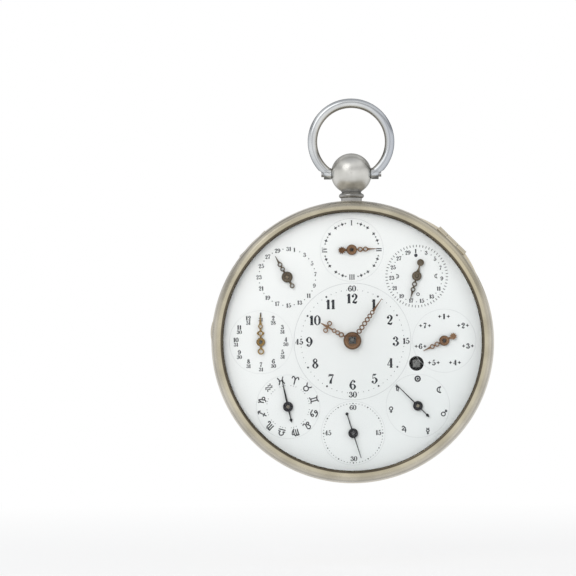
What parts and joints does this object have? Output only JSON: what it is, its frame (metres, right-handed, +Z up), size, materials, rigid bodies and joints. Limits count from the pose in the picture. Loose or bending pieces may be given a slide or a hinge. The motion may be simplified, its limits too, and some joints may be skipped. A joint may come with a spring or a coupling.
{
  "type": "astronomical clock",
  "caption": "Silver astronomical pocket watch with two dials: time and calendar sub-dials in front, a regulator scale behind, glazed hinged bezels, ball pendant and swinging bow",
  "frame": {"origin": "top of the inside of the bow's loop, where a chain's swivel hangs, on the watch's centre line", "axes": "+Z up along the pendant, +X to the right as the front dial is read, and the front dial faces -Y"},
  "size_m": [0.0621, 0.0239, 0.085],
  "materials": {
    "silver": "polished silver with a warm tone",
    "bow_silver": "polished silver, cooler and darker",
    "gilt": "fire gilt",
    "brass": "polished brass",
    "steel": "polished",
    "blued_steel": "blued",
    "copper_gilt": "dark copper gilt",
    "grey_steel": "grey, satin",
    "enamel": "white enamel on copper with painted markings",
    "glass": "clear"
  },
  "bodies": {
    "case": {"case_band": "silver", "pendant_neck": "silver", "pendant_ball": "silver", "screws": "steel", "hinge_pins": "steel", "back_ring": "gilt", "front_dial": "enamel", "back_dial": "enamel", "pillar_plate": "brass", "back_plate": "gilt", "movement_pillars": "brass", "calendar_plate": "brass", "calendar_posts": "steel", "jumper_springs": "steel", "potences": "gilt", "balance_cock": "gilt", "barrel_arbor": "steel", "fusee_chain": "steel", "balance_spring": "blued_steel"},
    "bow": {"bow": "bow_silver"},
    "front_bezel": {"front_bezel": "silver", "front_glass": "glass"},
    "back_bezel": {"back_bezel": "silver", "back_glass": "glass"},
    "minute": {"centre_wheel": "brass", "cannon_pinion": "steel", "minute_hand": "copper_gilt"},
    "motion": {"minute_wheel": "brass"},
    "hour": {"hour_wheel": "brass", "hour_hand": "copper_gilt"},
    "fusee": {"fusee": "brass", "great_wheel": "brass"},
    "barrel": {"barrel": "brass", "mainspring": "blued_steel"},
    "third": {"third_wheel": "brass"},
    "seconds": {"contrate_wheel": "brass", "seconds_hand": "blued_steel"},
    "crown": {"crown_wheel": "brass"},
    "balance": {"verge_staff": "steel", "balance_wheel": "gilt"},
    "date_day": {"date_day_wheel": "brass"},
    "moon_day": {"moon_day_wheel": "brass"},
    "planet_day": {"planet_day_wheel": "brass"},
    "date": {"date_star": "steel", "date_hand": "grey_steel"},
    "season": {"season_star": "steel", "season_hand": "copper_gilt"},
    "moon": {"moon_star": "steel", "moon_hand": "grey_steel"},
    "weekday": {"weekday_star": "steel", "weekday_hand": "copper_gilt"},
    "planet": {"planet_star": "steel", "planet_hand": "blued_steel"},
    "zodiac": {"zodiac_star": "steel", "zodiac_hand": "blued_steel"},
    "month": {"month_star": "steel", "month_hand": "gilt"},
    "regulator": {"regulator_hand": "gilt", "regulator_arbor": "steel"},
    "lever": {"regulator_lever": "steel"}
  },
  "joints": [
    {"name": "minute_turn", "type": "hinge", "parent": "case", "child": "minute", "pos_m": [0, 0, -0.0519], "axis": [0, 1, 0], "continuous": true},
    {"name": "hour_turn", "type": "hinge", "parent": "case", "child": "hour", "pos_m": [0, 0, -0.0519], "axis": [0, 1, 0], "continuous": true},
    {"name": "motion_turn", "type": "hinge", "parent": "case", "child": "motion", "pos_m": [-0.00591, 0, -0.05294], "axis": [0, 1, 0], "continuous": true},
    {"name": "fusee_turn", "type": "hinge", "parent": "case", "child": "fusee", "pos_m": [0.0139, 0, -0.0568], "axis": [0, 1, 0], "continuous": true},
    {"name": "barrel_turn", "type": "hinge", "parent": "case", "child": "barrel", "pos_m": [0.007, 0, -0.0359], "axis": [0, 1, 0], "continuous": true, "deforming": ["fusee_chain", "mainspring"]},
    {"name": "third_turn", "type": "hinge", "parent": "case", "child": "third", "pos_m": [0.00224, 0, -0.06318], "axis": [0, 1, 0], "continuous": true},
    {"name": "seconds_turn", "type": "hinge", "parent": "case", "child": "seconds", "pos_m": [0, 0, -0.0719], "axis": [0, 1, 0], "continuous": true},
    {"name": "crown_turn", "type": "hinge", "parent": "case", "child": "crown", "pos_m": [0, 0.00265, -0.0719], "axis": [-0.9397, 0, 0.342], "continuous": true},
    {"name": "date_day_turn", "type": "hinge", "parent": "case", "child": "date_day", "pos_m": [-0.00402, 0, -0.0422], "axis": [0, 1, 0], "continuous": true},
    {"name": "moon_day_turn", "type": "hinge", "parent": "case", "child": "moon_day", "pos_m": [0.0097, 0, -0.04788], "axis": [0, 1, 0], "continuous": true},
    {"name": "planet_day_turn", "type": "hinge", "parent": "case", "child": "planet_day", "pos_m": [0.00402, 0, -0.0616], "axis": [0, 1, 0], "continuous": true},
    {"name": "balance_swing", "type": "hinge", "parent": "case", "child": "balance", "pos_m": [-0.00968, 0, -0.06838], "axis": [0, 1, 0], "range_deg": [-100, 100], "deforming": ["balance_spring"]},
    {"name": "bow_swing", "type": "hinge", "parent": "case", "child": "bow", "pos_m": [0, 0, -0.0146], "axis": [1, 0, 0], "range_deg": [-85, 85]},
    {"name": "front_bezel_open", "type": "hinge", "parent": "case", "child": "front_bezel", "pos_m": [0.02181, -0.0046, -0.03009], "axis": [-0.7071, 0, 0.7071], "range_deg": [0, 100]},
    {"name": "back_bezel_open", "type": "hinge", "parent": "case", "child": "back_bezel", "pos_m": [-0.02181, 0.0046, -0.03009], "axis": [0.7071, 0, 0.7071], "range_deg": [0, 100]},
    {"name": "regulator_turn", "type": "hinge", "parent": "case", "child": "regulator", "pos_m": [0.0127, 0, -0.0519], "axis": [0, 1, 0], "range_deg": [-120, 120]},
    {"name": "lever_turn", "type": "hinge", "parent": "case", "child": "lever", "pos_m": [-0.00968, 0, -0.06838], "axis": [0, 1, 0], "range_deg": [-5.5, 5.5]},
    {"name": "date_turn", "type": "hinge", "parent": "case", "child": "date", "pos_m": [-0.01414, 0, -0.03776], "axis": [0, 1, 0], "continuous": true},
    {"name": "season_turn", "type": "hinge", "parent": "case", "child": "season", "pos_m": [0, 0, -0.0319], "axis": [0, 1, 0], "continuous": true},
    {"name": "moon_turn", "type": "hinge", "parent": "case", "child": "moon", "pos_m": [0.01414, 0, -0.03776], "axis": [0, 1, 0], "continuous": true},
    {"name": "weekday_turn", "type": "hinge", "parent": "case", "child": "weekday", "pos_m": [0.02, 0, -0.0519], "axis": [0, 1, 0], "continuous": true},
    {"name": "planet_turn", "type": "hinge", "parent": "case", "child": "planet", "pos_m": [0.01414, 0, -0.06604], "axis": [0, 1, 0], "continuous": true},
    {"name": "zodiac_turn", "type": "hinge", "parent": "case", "child": "zodiac", "pos_m": [-0.01414, 0, -0.06604], "axis": [0, 1, 0], "continuous": true},
    {"name": "month_turn", "type": "hinge", "parent": "case", "child": "month", "pos_m": [-0.02, 0, -0.0519], "axis": [0, 1, 0], "continuous": true}
  ],
  "couplings": [
    {"joint": "hour_turn", "follows": "minute_turn", "ratio": 0.083333},
    {"joint": "motion_turn", "follows": "minute_turn", "ratio": -0.33333},
    {"joint": "fusee_turn", "follows": "minute_turn", "ratio": -0.25},
    {"joint": "barrel_turn", "follows": "minute_turn", "ratio": -0.1661},
    {"joint": "third_turn", "follows": "minute_turn", "ratio": -7.5},
    {"joint": "seconds_turn", "follows": "minute_turn", "ratio": 60},
    {"joint": "crown_turn", "follows": "minute_turn", "ratio": 480},
    {"joint": "date_day_turn", "follows": "minute_turn", "ratio": -0.041667},
    {"joint": "moon_day_turn", "follows": "minute_turn", "ratio": -0.041667},
    {"joint": "planet_day_turn", "follows": "minute_turn", "ratio": -0.041667},
    {"joint": "lever_turn", "follows": "regulator_turn", "ratio": -0.045129}
  ]
}
